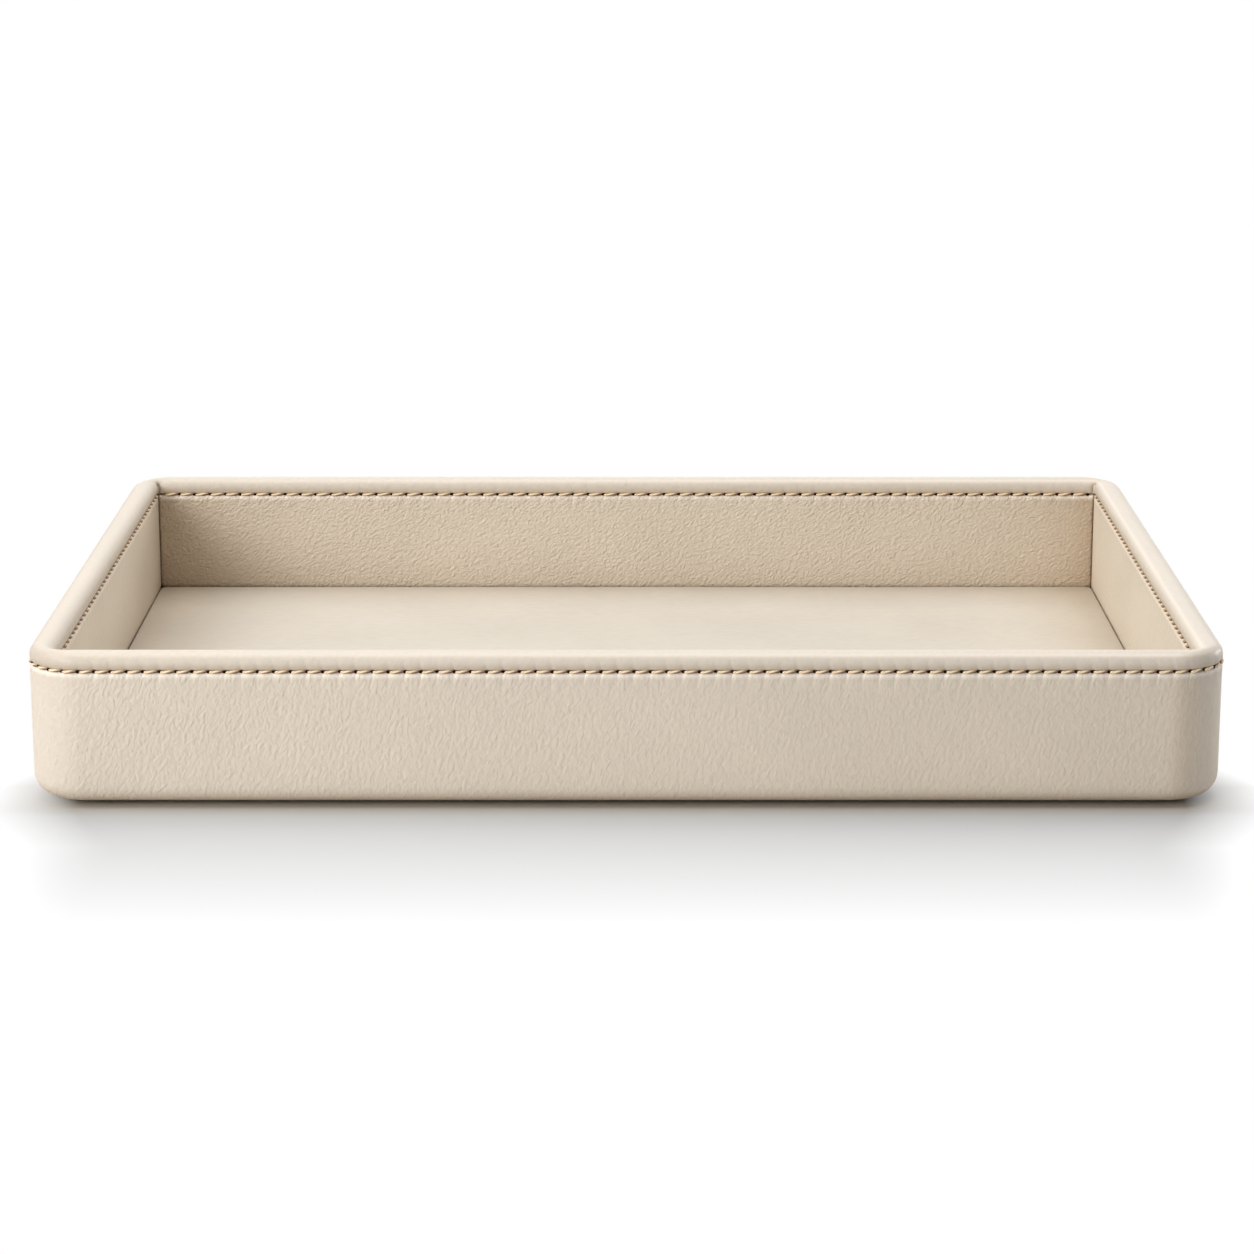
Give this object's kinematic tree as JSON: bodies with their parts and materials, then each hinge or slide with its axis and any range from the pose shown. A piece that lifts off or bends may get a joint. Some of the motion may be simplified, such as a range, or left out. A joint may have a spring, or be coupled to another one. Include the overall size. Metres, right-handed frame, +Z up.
{
  "type": "leather tray",
  "caption": "Open rectangular catch-all tray with padded leather walls, a rolled rim between two stitched seams and a flat leather floor.",
  "frame": {"origin": "on the surface that the tray stands on, under the middle of the tray", "axes": "+X along the long side to the right, +Y from the front to the back, +Z up"},
  "size_m": [0.35, 0.25, 0.047],
  "materials": {
    "leather": "satin pale tan, fine grain",
    "thread": "waxed tan thread",
    "fibreboard": "raw fibreboard, hidden",
    "greyboard": "raw greyboard, hidden",
    "foam": "soft foam, hidden",
    "suede": "matt brushed suede cloth"
  },
  "bodies": {
    "root": {"base_board": "fibreboard", "front_wall_board": "fibreboard", "back_wall_board": "fibreboard", "left_wall_board": "fibreboard", "right_wall_board": "fibreboard", "rim_padding": "foam", "rim_binding": "leather", "outer_band": "leather", "front_lining": "leather", "back_lining": "leather", "left_lining": "leather", "right_lining": "leather", "floor_card": "greyboard", "floor_leather": "leather", "base_lining": "suede", "outer_thread": "thread", "inner_thread": "thread"}
  },
  "joints": []
}
